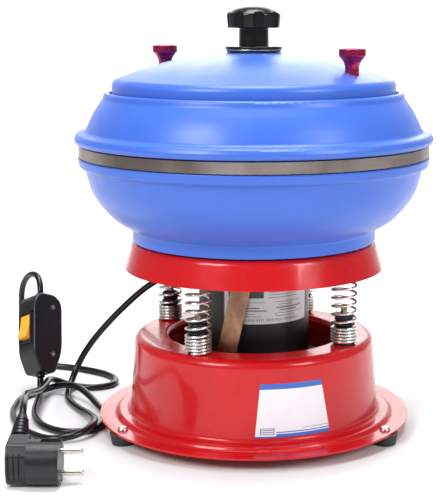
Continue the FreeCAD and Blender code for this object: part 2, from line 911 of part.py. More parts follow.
def clamp_bolt():
    """Bolt that draws the band's lugs together."""
    body = new_body("clamp_bolt")
    low, top, outer = size("band_bottom"), size("band_top"), size("band_radius")
    y, z = outer + 3.4, (low + top) * 0.5
    pad(body, "shank", lambda s: draw_circle(s, y, z, 2.0), 22, role="YZ_Plane", shift=(0, 0, -10))
    pad(body, "head", lambda s: hexagon(s, 6.2, y.value, z.value), 3, role="YZ_Plane",
        shift=(0, 0, -10.2))
    return body


def clamp_nut():
    body = new_body("clamp_nut")
    low, top, outer = size("band_bottom"), size("band_top"), size("band_radius")
    y, z = outer + 3.4, (low + top) * 0.5

    def section(sketch):
        hexagon(sketch, 6.2, y.value, z.value)
        draw_circle(sketch, y, z, 2.05)

    pad(body, "nut", section, 3.2, role="YZ_Plane", shift=(0, 0, 7.1))
    return body


def lid_knob_places():
    return round_places(size("lid_knob_circle"), Size(0, "0"), 2, LID_KNOB_ANGLE)


def lid():
    """Domed lid with a centre hole for the stud and two holes for its hand knobs."""
    body = new_body("lid")
    crown, wall, low = size("lid_crown"), size("lid_radius"), size("lid_bottom")
    revolve(body, "section", [
        (6.5, crown), (62, crown, 300), (wall, crown - 25.3, 7), (wall, low), (wall - 3.6, low),
        (wall - 3.6, crown - 27.9, 4), (62, crown - 3.9, 296), (6.5, crown - 3.9),
    ])

    def holes(sketch):
        for x, y in lid_knob_places():
            draw_circle(sketch, x, y, 6.3)

    cut_through(body, "holes", holes)
    return body


def lid_seal():
    """Soft ring under the lid's wall that rests on the cover's ledge."""
    wall, low = size("lid_radius"), size("lid_bottom")
    return ring("lid_seal", wall - 5.5, wall - 0.4, size("cover_rim") - 6.3, low)


def lid_knobs():
    """Two turned hand knobs: flat head, waisted neck and a threaded end through the lid."""
    body = new_body("lid_knobs")
    head, top = size("lid_knob_radius"), size("lid_knob_top")
    turned = revolve(body, "section", [
        (0, top - 34), (3, top - 34), (3, top - 26), (6.2, top - 26), (6.2, top - 13, 12),
        (head - 0.4, top - 6.6, 0.8), (head, top - 6, 0.5), (head, top, 0.8), (head - 2.6, top, 0.5),
        (head - 3.2, top - 0.7), (0, top - 0.7),
    ], across=size("lid_knob_circle"))
    repeat_round(body, [turned], 2)
    turn_about_z(body, LID_KNOB_ANGLE)
    return body


def lid_knob_nuts():
    """Flanged nuts under the lid, one on each hand knob."""
    body = new_body("lid_knob_nuts")
    circle, top = size("lid_knob_circle"), size("lid_knob_top")

    def section(sketch):
        hexagon(sketch, 10, SIZES["lid_knob_circle"], 0)
        draw_circle(sketch, circle, 0, 3.02)

    def flange(sketch):
        draw_circle(sketch, circle, 0, 8)
        draw_circle(sketch, circle, 0, 3.02)

    nut = pad(body, "nut", section, 4, shift=(0, 0, top - 33))
    rim = pad(body, "rim", flange, 1.2, shift=(0, 0, top - 29.4))
    repeat_round(body, [nut, rim], 2)
    turn_about_z(body, LID_KNOB_ANGLE)
    return body


# ---------------------------------------------------------------- stud and star knob


def centre_stud():
    """Threaded rod from the dish up through the bowl's post, the lid and the star knob."""
    body = new_body("centre_stud")
    radius = size("stud_radius")
    revolve(body, "section", [
        (0, size("dish_top") - 9), (radius, size("dish_top") - 9, 0.6), (radius, size("stud_top"), 0.8),
        (0, size("stud_top")),
    ])
    return body


def stud_nuts():
    """Nut under the dish, nut on the dish, and nut on the bowl's post."""
    body = new_body("stud_nuts")
    hole = size("stud_radius") + 0.03
    for name, low in (
        ("under_dish", size("dish_top") - sheet_steel - 5),
        ("on_dish", size("dish_top")),
        ("on_post", size("bowl_rim") + 1.4),
    ):
        def section(sketch):
            hexagon(sketch, 13)
            draw_circle(sketch, 0, 0, hole)

        pad(body, name, section, 5 if name != "on_post" else 6.5, shift=(0, 0, low))
    return body


def post_washer():
    rim = size("bowl_rim")
    return ring("post_washer", size("stud_radius") + 0.3, 14, rim - 1, rim + 1.4, 0.4)


def knob_seal():
    crown = size("lid_crown")
    return ring("knob_seal", 6.5, size("washer_radius") - 1.4, crown + 0.2, crown + 1.7, 0.3)


def knob_plate():
    crown = size("lid_crown")
    return ring("knob_plate", size("stud_radius") + 0.6, size("washer_radius") - 0.2,
                crown + 1.7, crown + 2.9, 0.3)


def knob_flange():
    """Black plastic disc under the star knob."""
    crown = size("lid_crown")
    return ring("knob_flange", size("stud_radius") + 0.6, size("washer_radius"),
                crown + 2.9, size("knob_bottom") - 0.2, 0.8)


def star_knob():
    """Moulded hand knob: fluted domed head on a column."""
    body = new_body("star_knob")
    low, top = size("knob_bottom"), size("knob_top")
    column, head = size("knob_column_radius"), size("knob_head_radius")
    revolve(body, "section", [
        (8.02, low), (column, low, 0.6), (column - 0.3, top - 20, 1.5), (head - 1, top - 20.2, 1.2),
        (head, top - 7.5, 2.5), (15, top - 0.8, 24), (5.02, top), (5.02, low + 22), (8.02, low + 22),
    ])

    def flute(sketch):
        draw_circle(sketch, head + 3.4, 0, 6.6)

    cut = cut_through(body, "flute", flute, shift=(0, 0, top + 1), depth=24)
    repeat_round(body, [cut], size("knob_flutes"))
    turn_about_z(body, 11)
    return body


def knob_insert():
    """Threaded metal bush moulded into the star knob."""
    body = new_body("knob_insert")
    low, top = size("knob_bottom"), size("knob_top")
    bore = size("stud_radius") + 0.05
    revolve(body, "section", [
        (bore, low + 0.2), (8, low + 0.2), (8, low + 22), (5, low + 22), (5, top - 0.1), (bore, top - 0.1),
    ])
    return body


# ---------------------------------------------------------------- cord, switch and plug

# Points on the cords' routes, chosen by hand.  The supply cord runs from the motor's gland down to
# the floor, twice round in an oval and up into the switch; the plug cord leaves the switch's upper
# end, arches over to the floor, turns back in a small loop and rises over the coil to the plug.
GLAND_SEAT = (-37.0, 37.0, 131.0)
GLAND_AXIS = (-1.0, 1.0, 0.0)
GLAND_MOUTH = (-58.25, 58.25, 131.0)
SWITCH_FOOT = (-218.7, 80.4, 20.0)
SWITCH_HEAD = (-223.6, 125.0, 97.4)
RELIEF_MOUTH = (-199.0, -132.0, 46.0)
RELIEF_AXIS = (-0.03, 0.86, 0.51)
SUPPLY_ROUTE = [
    GLAND_MOUTH, (-74.2, 74.2, 131), (-103, 82, 120), (-139, 93, 86), (-168, 106, 52),
    (-184, 113, 26), (-192, 95, 4), (-189, 60, 3.4), (-173, 26, 3.4), (-156, -4, 6.5),
    (-147.5, -37, 11), (-158, -64, 7), (-185, -70, 3.4), (-209, -50, 3.4), (-226, -21, 3.4),
    (-236, 12, 3.4), (-237, 41, 3.4), (-235, 65, 3.4), (-222, 85, 3.6), (-200, 88, 9.5),
    (-181, 75, 13), (-166, 54, 9), (-153, 31, 3.8), (-142, 7, 3.4), (-141, -18, 3.4),
    (-151, -43, 3.4), (-176, -48, 3.4), (-199, -30, 3.4), (-211, -3, 3.4), (-216, 25, 3.4),
    (-216.8, 50, 3.8), (-217.9, 73.4, 7.9), SWITCH_FOOT,
]
PLUG_ROUTE = [
    SWITCH_HEAD, (-224.6, 134.5, 113.6), (-238, 151, 115), (-250, 164, 99), (-252, 168, 72),
    (-252, 170, 45), (-248, 176, 20), (-232, 183, 4.5), (-207, 180, 3.4), (-182, 168, 3.4),
    (-160, 152, 3.4), (-146, 132, 3.4), (-147, 109, 3.4), (-168, 97, 3.4), (-192, 107, 3.4),
    (-211, 94, 15.5), (-209.8, 65, 19), (-210, 28, 22), (-212, -12, 31), (-209, -50, 42),
    (-204, -88, 52), (-200, -118, 54), RELIEF_MOUTH,
]


def smooth_path(route, label):
    """Straight runs joined by tangent arcs, as one wire, with its length."""
    points = [V(*point) for point in route]
    edges, length = [], 0.0
    here = points[0]
    radii = []
    for before, corner, after in zip(points, points[1:], points[2:]):
        back, ahead = before - corner, after - corner
        shorter = min(back.Length, ahead.Length)
        trim = 0.45 * shorter
        turn = math.pi - back.getAngle(ahead)
        radius = trim / math.tan(turn / 2)
        radii.append(round(radius, 1))
        start = corner + back.normalize() * trim
        end = corner + ahead.normalize() * trim
        middle_way = (back + ahead).normalize()
        middle = corner + middle_way * (radius / math.cos(turn / 2) - radius)
        edges.append(Part.LineSegment(here, start).toShape())
        edges.append(Part.Arc(start, middle, end).toShape())
        length += (start - here).Length + radius * turn
        here = end
    edges.append(Part.LineSegment(here, points[-1]).toShape())
    length += (points[-1] - here).Length
    print(label, "length", round(length, 1), "smallest radius", min(radii), "radii", radii)
    return Part.Wire(edges), length


def cord(label, route):
    """Round cord along its route."""
    radius = SIZES["cord_radius"]
    path, length = smooth_path(route, label)
    start = V(*route[0])
    along = V(*route[1]) - start
    section = Part.Wire(Part.Circle(start, along, radius).toShape())
    sweep = Part.BRepOffsetAPI.MakePipeShell(path)
    sweep.add(section)
    sweep.build()
    sweep.makeSolid()
    solid = sweep.shape()
    expected = math.pi * radius ** 2 * length
    if abs(solid.Volume - expected) > 0.01 * expected:
        raise ValueError(f"{label} has volume {solid.Volume:.0f}, not {expected:.0f}")
    feature = doc.addObject("Part::Feature", label)
    feature.Label = label
    feature.Shape = solid
    feature.Placement = FreeCAD.Placement()
    return feature


ROCKER_PIN = (-14.0, 49.0)
ROCKER_TRAVEL = 24.0


def switch_frame():
    """Placement whose +Z runs up the switch, -Y out of its broad face and -X out of its rocker."""
    foot, head = V(*SWITCH_FOOT), V(*SWITCH_HEAD)
    up = (head - foot).normalize()
    face = V(0.695, -0.719, 0)
    across = up.cross(face).normalize() * -1
    outward = across.cross(up).normalize() * -1
    matrix = FreeCAD.Matrix(
        -across.x, -outward.x, up.x, foot.x,
        -across.y, -outward.y, up.y, foot.y,
        -across.z, -outward.z, up.z, foot.z,
        0, 0, 0, 1,
    )
    return FreeCAD.Placement(matrix)


def switch_outline(sketch):
    """Egg shape of the switch's broad face, long axis along the sketch's y."""
    long, wide = size("switch_length"), size("switch_width") * 0.5
    middle = 2.8
    draw_outline(sketch, [
        (-9, middle, 5), (9, middle, 5), (wide, middle + 24, 50), (wide, long + middle, 14.5),
        (-wide, long + middle, 14.5), (-wide, middle + 20, 30),
    ])


def switch_half(label, front):
    """One half of the switch's moulded case."""
    body = new_body(label)
    half = size("switch_depth") * 0.5
    shift = Size(0.05, "0.05") if front else -half
    pad(body, "case", switch_outline, half - 0.05, role="XZ_Plane", shift=(0, 0, shift))
    doc.recompute()
    outer_y = -number_of(half) if front else number_of(half)
    rim = [
        f"Edge{n}" for n, edge in enumerate(body.Shape.Edges, start=1)
        if abs(edge.BoundBox.YMin - outer_y) < 0.01 and abs(edge.BoundBox.YMax - outer_y) < 0.01
    ]
    case = body.Tip
    rounding = body.newObject("PartDesign::Fillet", f"{label}_rounding")
    rounding.Base = (case, rim)
    rounding.Radius = 3.0
    body.Tip = rounding

    def rocker_well(sketch):
        draw_outline(sketch, box_outline(-10.3, 10.3, 31.4, 66.6))

    cut_through(body, "rocker_well", rocker_well, role="YZ_Plane",
                shift=(0, 0, -size("switch_width") * 0.5 + 14), depth=30)
    body.Placement = switch_frame()
    return body


def switch_screws():
    body = new_body("switch_screws")
    face = size("switch_depth") * 0.5
    for name, z in (("upper", 72), ("lower", 22)):
        pad(body, name, lambda s: draw_circle(s, 5, z, 2.4), 0.7, role="XZ_Plane",
            shift=(0, 0, face + 0.02))
    body.Placement = switch_frame()
    return body


def switch_bezel():
    """Frame of the rocker, let into the narrow side of the case."""
    body = new_body("switch_bezel")
    side = size("switch_width") * 0.5

    def frame(sketch):
        draw_outline(sketch, box_outline(-10.2, 10.2, 31.5, 66.5, 1))
        draw_outline(sketch, box_outline(-7.6, 7.6, 34.9, 63.1))

    pad(body, "frame", frame, 12.4, role="YZ_Plane", shift=(0, 0, -side - 1.8))
    body.Placement = switch_frame()
    return body


def switch_rocker():
    """Rocker that tips about a cross pin, upper end pressed in at rest."""
    body = new_body("switch_rocker")
    tilt = math.radians(ROCKER_TRAVEL / 2)
    pin_x, pin_z = ROCKER_PIN

    def profile(sketch):
        corners = []
        for out, along, rounding in (
            (-3, -13.1, 0.8), (8.2, -12.2, 1.2), (6.6, 0, 24), (8.2, 12.2, 1.2), (-3, 13.1, 0.8),
        ):
            outward = out * math.cos(tilt) - along * math.sin(tilt)
            up = along * math.cos(tilt) + out * math.sin(tilt)
            corners.append((round(pin_x - outward, 4), round(pin_z + up, 4), rounding))
        draw_outline(sketch, corners)

    pad(body, "rocker", profile, 14.6, role="XZ_Plane", middle=True)
    body.Placement = switch_frame()
    return body


def switch_reliefs():
    """Short collars where the cords enter the switch."""
    body = new_body("switch_reliefs")
    cord_size = size("cord_radius")
    long = size("switch_length") + 2.8
    revolve(body, "lower", [
        (0, 1), (cord_size, 1), (cord_size, 0), (cord_size + 1.2, 0), (cord_size + 1.4, 2.78), (0, 2.78),
    ])
    length = (V(*SWITCH_HEAD) - V(*SWITCH_FOOT)).Length
    revolve(body, "upper", [
        (0, long + 0.02), (cord_size + 1.6, long + 0.02), (cord_size + 1.2, length),
        (cord_size, length), (cord_size, length - 1), (0, length - 1),
    ])
    body.Placement = switch_frame()
    return body


PLUG_FACE = (-160.8, -172.0, 19.3)


def plug_body():
    """Round plug face on a hand grip, with grooves for the earth contacts."""
    body = new_body("plug_body")
    radius = size("plug_radius")
    pad(body, "face", lambda s: draw_circle(s, 0, 0, radius), 27, role="YZ_Plane", shift=(0, 0, -27))
    doc.recompute()

    def grip(sketch):
        draw_outline(sketch, [
            (-15, -6, 5), (-11, -17, 6), (2, -17.5, 6), (11, -10, 5), (21.0, 5.4, 2), (12.2, 20.2, 2),
            (-8, 17.5, 6), (-14, 9, 4),
        ])

    pad(body, "grip", grip, 17.5, role="YZ_Plane", shift=(0, 0, -44.4))
    doc.recompute()
    for name, x in (("first", -41.2), ("second", -36.8), ("third", -32.4)):
        cut_through(body, f"{name}_grip_groove",
                    lambda s: draw_outline(s, box_outline(x - 0.8, x + 0.8, -11, 11, 0.4)),
                    role="XZ_Plane", shift=(0, 0, 20), depth=7.5)
    doc.recompute()
    end = [
        f"Edge{n}" for n, edge in enumerate(body.Shape.Edges, start=1)
        if abs(edge.BoundBox.XMin + 44.4) < 0.01 and abs(edge.BoundBox.XMax + 44.4) < 0.01
    ]
    grip_body = body.Tip
    rounding = body.newObject("PartDesign::Fillet", "plug_body_rounding")
    rounding.Base = (grip_body, end)
    rounding.Radius = 1.8
    body.Tip = rounding
    for name, near, far in (("upper", 15.5, 20), ("lower", -20, -15.5)):
        cut_through(body, f"{name}_groove", lambda s: draw_outline(s, box_outline(-4, 4, near, far)),
                    role="YZ_Plane", shift=(0, 0, 1), depth=17)
    body.Placement = FreeCAD.Placement(V(*PLUG_FACE), FreeCAD.Rotation())
    return body


def plug_relief():
    """Ribbed strain relief from the grip to the cord."""
    body = new_body("plug_relief")
    cord_size = size("cord_radius")
    corners = [(0, 19.2), (6.2, 19.2), (6.2, 22)]
    for k in range(5):
        foot = 22 + 4.2 * k
        wide = 8.0 - 0.5 * k
        corners += [(wide, foot), (wide, foot + 2.6), (wide - 1.2, foot + 2.6), (wide - 1.2, foot + 4.2)]
    corners += [(cord_size + 1.1, 44), (cord_size + 1.1, 46), (cord_size, 46), (cord_size, 45), (0, 45)]
    revolve(body, "section", corners)
    axis = V(*RELIEF_AXIS).normalize()
    seat = V(*RELIEF_MOUTH) - axis * 46
    body.Placement = FreeCAD.Placement(seat, FreeCAD.Rotation(V(0, 0, 1), axis))
    return body


def plug_pins():
    """Two round pins with domed ends."""
    body = new_body("plug_pins")
    half, radius = size("plug_pin_gap") * 0.5, size("plug_pin_radius")
    for name, z in (("upper", half), ("lower", -half)):
        pad(body, name, lambda s: draw_circle(s, 0, z, radius), 19, role="YZ_Plane",
            shift=(0, 0, 0.02))
    doc.recompute()
    tips = [
        f"Edge{n}" for n, edge in enumerate(body.Shape.Edges, start=1)
        if edge.BoundBox.XMin > 18.9
    ]
    pins = body.Tip
    rounding = body.newObject("PartDesign::Fillet", "plug_pins_rounding")
    rounding.Base = (pins, tips)
    rounding.Radius = 1.8
    body.Tip = rounding
    body.Placement = FreeCAD.Placement(V(*PLUG_FACE), FreeCAD.Rotation())
    return body


def plug_earth_clips():
    """Sprung earth strips lying in the plug's grooves."""
    body = new_body("plug_earth_clips")
    for name, z in (("upper", 16.2), ("lower", -16.2)):
        pad(body, name, lambda s: draw_outline(s, box_outline(-3.6, 3.6, z - 0.4, z + 0.4)), 15.2,
            role="YZ_Plane", shift=(0, 0, -15.6))
    body.Placement = FreeCAD.Placement(V(*PLUG_FACE), FreeCAD.Rotation())
    return body


# ---------------------------------------------------------------- build, check and write

for make in (
    base_shell, feet, foot_screws, foot_nuts, base_sticker, spring_buffers, buffer_bolts,
    suspension_springs, support_dish, spring_guides, motor_straps, strap_bolts, strap_nuts, motor_bolts,
    motor_top_bell, motor_bottom_bell, motor_housing, motor_label, motor_stator, motor_windings,
    motor_bearings, motor_pad, rotor_core, motor_shaft, eccentric_weight, weight_nut, cord_gland,
    bowl, bowl_gasket, bowl_seal, bowl_cover, clamp_band, clamp_bolt, clamp_nut, lid, lid_seal,
    lid_knobs, lid_knob_nuts, centre_stud, stud_nuts, post_washer, knob_seal, knob_plate, knob_flange,
    star_knob, knob_insert, switch_screws, switch_bezel, switch_rocker, switch_reliefs, plug_body,
    plug_relief, plug_pins, plug_earth_clips,
):
    keep(make())
keep(switch_half("switch_front", True))
keep(switch_half("switch_back", False))
keep(cord("supply_cord", SUPPLY_ROUTE))
keep(cord("plug_cord", PLUG_ROUTE))
doc.recompute()

for thing in doc.Objects:
    if "Invalid" in thing.State or "Error" in thing.State:
        raise ValueError(f"{thing.Label} failed: {thing.State}")
for piece in parts:
    if piece.Shape.isNull() or not piece.Shape.isValid():
        raise ValueError(f"{piece.Label} has no valid shape")

os.makedirs("parts", exist_ok=True)
for piece in parts:
    piece.Shape.exportStep(f"parts/{piece.Label}.step")
print(len(parts), "parts,", sum(len(piece.Shape.Solids) for piece in parts), "solids")
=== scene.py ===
import math

import bpy
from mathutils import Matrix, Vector


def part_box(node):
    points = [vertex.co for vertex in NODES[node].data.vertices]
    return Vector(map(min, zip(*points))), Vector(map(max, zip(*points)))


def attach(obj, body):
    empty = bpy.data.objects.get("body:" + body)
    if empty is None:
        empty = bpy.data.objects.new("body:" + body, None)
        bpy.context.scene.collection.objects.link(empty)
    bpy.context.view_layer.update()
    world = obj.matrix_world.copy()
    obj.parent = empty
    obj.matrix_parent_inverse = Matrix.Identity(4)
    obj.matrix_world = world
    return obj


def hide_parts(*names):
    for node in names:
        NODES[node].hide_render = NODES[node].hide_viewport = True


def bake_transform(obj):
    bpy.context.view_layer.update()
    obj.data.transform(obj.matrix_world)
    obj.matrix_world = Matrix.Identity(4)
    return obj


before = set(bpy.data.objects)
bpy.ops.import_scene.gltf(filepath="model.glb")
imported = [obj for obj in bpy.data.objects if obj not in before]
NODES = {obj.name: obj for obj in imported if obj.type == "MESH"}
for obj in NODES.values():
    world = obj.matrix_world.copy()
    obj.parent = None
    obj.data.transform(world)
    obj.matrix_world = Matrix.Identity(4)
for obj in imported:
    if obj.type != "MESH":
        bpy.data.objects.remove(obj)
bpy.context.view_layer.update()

# ---------------------------------------------------------------- camera

CAMERA_PLACE = (0.0, -1.2, 0.3873)
CAMERA_TILT = math.radians(79.67)
CAMERA_LENS = 93.66
CAMERA_SHIFT = -0.068

scene = bpy.context.scene
camera_data = bpy.data.cameras.new("camera")
camera_data.sensor_width = 36.0
camera_data.lens = CAMERA_LENS
camera_data.shift_x = CAMERA_SHIFT
camera_data.clip_end = 50.0
camera = bpy.data.objects.new("camera", camera_data)
camera.location = CAMERA_PLACE
camera.rotation_euler = (CAMERA_TILT, 0.0, 0.0)
scene.collection.objects.link(camera)
scene.camera = camera

# ---------------------------------------------------------------- material helpers


def nodes_of(name):
    """New node material, with its tree and its shader."""
    material = bpy.data.materials.new(name)
    material.use_nodes = True
    tree = material.node_tree
    shader = next(n for n in tree.nodes if n.type == "BSDF_PRINCIPLED")
    return material, tree, shader


def noise(tree, scale, detail=4.0, stretch=(1, 1, 1), rough=0.5):
    """Noise value in the object's own space, stretched along its axes."""
    place = tree.nodes.new("ShaderNodeTexCoord")
    mapping = tree.nodes.new("ShaderNodeMapping")
    mapping.inputs["Scale"].default_value = stretch
    texture = tree.nodes.new("ShaderNodeTexNoise")
    texture.inputs["Scale"].default_value = scale
    texture.inputs["Detail"].default_value = detail
    texture.inputs["Roughness"].default_value = rough
    tree.links.new(place.outputs["Object"], mapping.inputs["Vector"])
    tree.links.new(mapping.outputs["Vector"], texture.inputs["Vector"])
    return texture.outputs["Fac"]


def ranged(tree, value, low, high, start=0.3, end=0.7):
    """The value's run from start to end, mapped to low to high and held there beyond."""
    node = tree.nodes.new("ShaderNodeMapRange")
    node.inputs["From Min"].default_value = start
    node.inputs["From Max"].default_value = end
    node.inputs["To Min"].default_value = low
    node.inputs["To Max"].default_value = high
    tree.links.new(value, node.inputs["Value"])
    return node.outputs["Result"]


def mixed(tree, value, first, second):
    """Colour that goes from the first to the second as the value goes from 0 to 1."""
    node = tree.nodes.new("ShaderNodeMix")
    node.data_type = "RGBA"
    node.inputs["A"].default_value = (*first, 1)
    node.inputs["B"].default_value = (*second, 1)
    tree.links.new(value, node.inputs["Factor"])
    return node.outputs["Result"]


def bumped(tree, shader, heights, distance=0.001):
    """Bump from a list of (height, strength), each laid over the one before."""
    before = None
    for height, strength in heights:
        bump = tree.nodes.new("ShaderNodeBump")
        bump.inputs["Strength"].default_value = strength
        bump.inputs["Distance"].default_value = distance
        tree.links.new(height, bump.inputs["Height"])
        if before is not None:
            tree.links.new(before, bump.inputs["Normal"])
        before = bump.outputs["Normal"]
    tree.links.new(before, shader.inputs["Normal"])


def painted(name, colour, darker, rough, coat=0.0, coat_rough=0.05, metal=0.0, fine=900.0,
            fine_bump=0.05, wave=25.0, wave_bump=0.0, stretch=(1, 1, 1), rough_spread=0.06,
            sheen=0.0, specular=0.5):
    """Coloured surface: slow colour variation, fine grain bump and uneven gloss."""
    material, tree, shader = nodes_of(name)
    slow = noise(tree, wave, 3.0, stretch)
    grain = noise(tree, fine, 3.0, stretch)
    tint = mixed(tree, ranged(tree, slow, 0.0, 1.0), colour, darker)
    tree.links.new(tint, shader.inputs["Base Color"])
    blotch = noise(tree, wave * 4, 5.0, stretch)
    tree.links.new(ranged(tree, blotch, rough - rough_spread, rough + rough_spread),
                   shader.inputs["Roughness"])
    shader.inputs["Metallic"].default_value = metal
    shader.inputs["Coat Weight"].default_value = coat
    shader.inputs["Coat Roughness"].default_value = coat_rough
    shader.inputs["Sheen Weight"].default_value = sheen
    shader.inputs["Specular IOR Level"].default_value = specular
    heights = [(grain, fine_bump)]
    if wave_bump:
        heights.append((noise(tree, wave * 3, 2.0), wave_bump))
    bumped(tree, shader, heights)
    return material


def brushed(name, colour, darker, rough, scratches_per_metre=6240.0):
    """Steel brushed round the Z axis: fine rings, with soft lighter and darker stretches."""
    material, tree, shader = nodes_of(name)
    place = tree.nodes.new("ShaderNodeTexCoord")
    split = tree.nodes.new("ShaderNodeSeparateXYZ")
    tree.links.new(place.outputs["Object"], split.inputs["Vector"])
    angle = tree.nodes.new("ShaderNodeMath")
    angle.operation = "ARCTAN2"
    tree.links.new(split.outputs["X"], angle.inputs[0])
    tree.links.new(split.outputs["Y"], angle.inputs[1])
    join = tree.nodes.new("ShaderNodeCombineXYZ")
    tree.links.new(angle.outputs["Value"], join.inputs["X"])
    tree.links.new(split.outputs["Z"], join.inputs["Z"])
    mapping = tree.nodes.new("ShaderNodeMapping")
    mapping.inputs["Scale"].default_value = (5.0, 1.0, scratches_per_metre)
    tree.links.new(join.outputs["Vector"], mapping.inputs["Vector"])
    lines = tree.nodes.new("ShaderNodeTexNoise")
    lines.inputs["Scale"].default_value = 1.0
    lines.inputs["Detail"].default_value = 4.0
    tree.links.new(mapping.outputs["Vector"], lines.inputs["Vector"])
    tint = mixed(tree, ranged(tree, lines.outputs["Fac"], 0, 1), colour, darker)
    slow_map = tree.nodes.new("ShaderNodeMapping")
    slow_map.inputs["Scale"].default_value = (2.2, 1.0, 6.0)
    tree.links.new(join.outputs["Vector"], slow_map.inputs["Vector"])
    slow = tree.nodes.new("ShaderNodeTexNoise")
    slow.inputs["Scale"].default_value = 1.0
    slow.inputs["Detail"].default_value = 3.0
    tree.links.new(slow_map.outputs["Vector"], slow.inputs["Vector"])
    stretches = mixed(tree, ranged(tree, slow.outputs["Fac"], 0, 1, 0.38, 0.62),
                      (1.15, 1.12, 1.08), (0.50, 0.46, 0.43))
    shade = tree.nodes.new("ShaderNodeMix")
    shade.data_type = "RGBA"
    shade.blend_type = "MULTIPLY"
    shade.inputs["Factor"].default_value = 1.0
    tree.links.new(tint, shade.inputs["A"])
    tree.links.new(stretches, shade.inputs["B"])
    tint = shade.outputs["Result"]
    tree.links.new(tint, shader.inputs["Base Color"])
    tree.links.new(ranged(tree, lines.outputs["Fac"], rough - 0.06, rough + 0.08),
                   shader.inputs["Roughness"])
    shader.inputs["Metallic"].default_value = 1.0
    shader.inputs["Anisotropic"].default_value = 0.5
    bumped(tree, shader, [(lines.outputs["Fac"], 0.08)], 0.0002)
    return material


RED = painted("red_enamel", (0.60, 0.007, 0.011), (0.50, 0.004, 0.008), 0.24, coat=0.30,
              coat_rough=0.06, fine=240, fine_bump=0.015, wave=14, wave_bump=0.03, specular=0.28)
BLUE = painted("bowl_blue", (0.044, 0.140, 0.610), (0.039, 0.125, 0.560), 0.33, fine=1600,
               fine_bump=0.10, wave=12, rough_spread=0.04, sheen=0.05)
FOOT = painted("foot_rubber", (0.020, 0.021, 0.022), (0.032, 0.032, 0.033), 0.62, fine=1400,
               fine_bump=0.2, wave=60)
ZINC = painted("zinc_screws", (0.66, 0.66, 0.65), (0.50, 0.50, 0.49), 0.28, metal=1.0, fine=2200,
               fine_bump=0.08, wave=160, rough_spread=0.1)
SPRING = painted("spring_steel", (0.86, 0.86, 0.84), (0.66, 0.65, 0.63), 0.27, metal=1.0, fine=2400,
                 fine_bump=0.06, wave=190, rough_spread=0.08)
BUFFER = painted("buffer_rubber", (0.006, 0.006, 0.007), (0.012, 0.012, 0.012), 0.36, fine=1500,
                 fine_bump=0.15, wave=70, specular=0.42)
BRASS = painted("brass_bolts", (0.42, 0.33, 0.22), (0.26, 0.21, 0.15), 0.34, metal=1.0, fine=2000,
                fine_bump=0.1, wave=220, rough_spread=0.1)
MOTOR = painted("motor_black", (0.006, 0.006, 0.007), (0.010, 0.010, 0.011), 0.38, coat=0.10,
                coat_rough=0.3, fine=900, fine_bump=0.12, wave=30, specular=0.35)
STEEL = painted("motor_steel", (0.46, 0.46, 0.45), (0.34, 0.33, 0.32), 0.36, metal=1.0, fine=1500,
                fine_bump=0.1, wave=90, rough_spread=0.1)
IRON = painted("laminations", (0.16, 0.16, 0.17), (0.09, 0.09, 0.10), 0.5, metal=0.8, fine=1400,
               fine_bump=0.3, wave=90, stretch=(1, 1, 9))
COPPER = painted("copper", (0.55, 0.20, 0.08), (0.32, 0.10, 0.04), 0.36, metal=0.9, fine=700,
                 fine_bump=0.5, wave=120, stretch=(1, 1, 3))
SEAL = painted("seal_rubber", (0.018, 0.018, 0.019), (0.028, 0.028, 0.028), 0.58, fine=1300,
               fine_bump=0.15, wave=50)
BAND = brushed("band_steel", (0.44, 0.385, 0.375), (0.29, 0.250, 0.245), 0.30)
MAGENTA = painted("knob_magenta", (0.46, 0.010, 0.085), (0.30, 0.006, 0.060), 0.24, metal=0.75,
                  coat=0.3, coat_rough=0.08, fine=1200, fine_bump=0.06, wave=80, rough_spread=0.06,
                  stretch=(1, 1, 7))
KNOB = painted("knob_black", (0.004, 0.004, 0.005), (0.007, 0.007, 0.008), 0.20, fine=700,
               fine_bump=0.04, wave=60, coat=0.15, coat_rough=0.1, specular=0.36)
CORD = painted("cord_black", (0.005, 0.005, 0.006), (0.009, 0.009, 0.010), 0.22, fine=1100,
               fine_bump=0.06, wave=70, rough_spread=0.06, specular=0.42)
SWITCH = painted("switch_black", (0.005, 0.006, 0.008), (0.009, 0.009, 0.012), 0.34, fine=1500,
                 fine_bump=0.16, wave=60, specular=0.40)
ROCKER = painted("rocker_yellow", (0.90, 0.44, 0.040), (0.84, 0.36, 0.026), 0.26, fine=900,
                 fine_bump=0.03, wave=90, coat=0.3, coat_rough=0.08)
PLUG = painted("plug_black", (0.007, 0.007, 0.010), (0.012, 0.012, 0.015), 0.33, fine=1300,
               fine_bump=0.12, wave=60, specular=0.45)
NICKEL = painted("pin_nickel", (0.70, 0.66, 0.60), (0.56, 0.52, 0.47), 0.20, metal=1.0, fine=1800,
                 fine_bump=0.05, wave=150)


def strap_material():
    """Yellow-passivated zinc: straw, bronze and faint green and violet stains."""
    material, tree, shader = nodes_of("strap_zinc")
    slow = noise(tree, 34.0, 5.0, (1, 1, 0.5), 0.6)
    ramp = tree.nodes.new("ShaderNodeValToRGB")
    stops = ((0.28, (0.16, 0.085, 0.06)), (0.42, (0.30, 0.165, 0.10)), (0.52, (0.40, 0.25, 0.16)),
             (0.62, (0.26, 0.20, 0.13)), (0.74, (0.28, 0.145, 0.13)))
    elements = ramp.color_ramp.elements
    for element, (place, colour) in zip(elements, (stops[0], stops[-1])):
        element.position = place
        element.color = (*colour, 1)
    for place, colour in stops[1:-1]:
        elements.new(place).color = (*colour, 1)
    tree.links.new(slow, ramp.inputs["Fac"])
    tree.links.new(ramp.outputs["Color"], shader.inputs["Base Color"])
    shader.inputs["Metallic"].default_value = 0.9
    tree.links.new(ranged(tree, noise(tree, 200.0), 0.26, 0.42), shader.inputs["Roughness"])
    bumped(tree, shader, [(noise(tree, 1500.0, 2.0), 0.06)])
    return material


STRAP = strap_material()

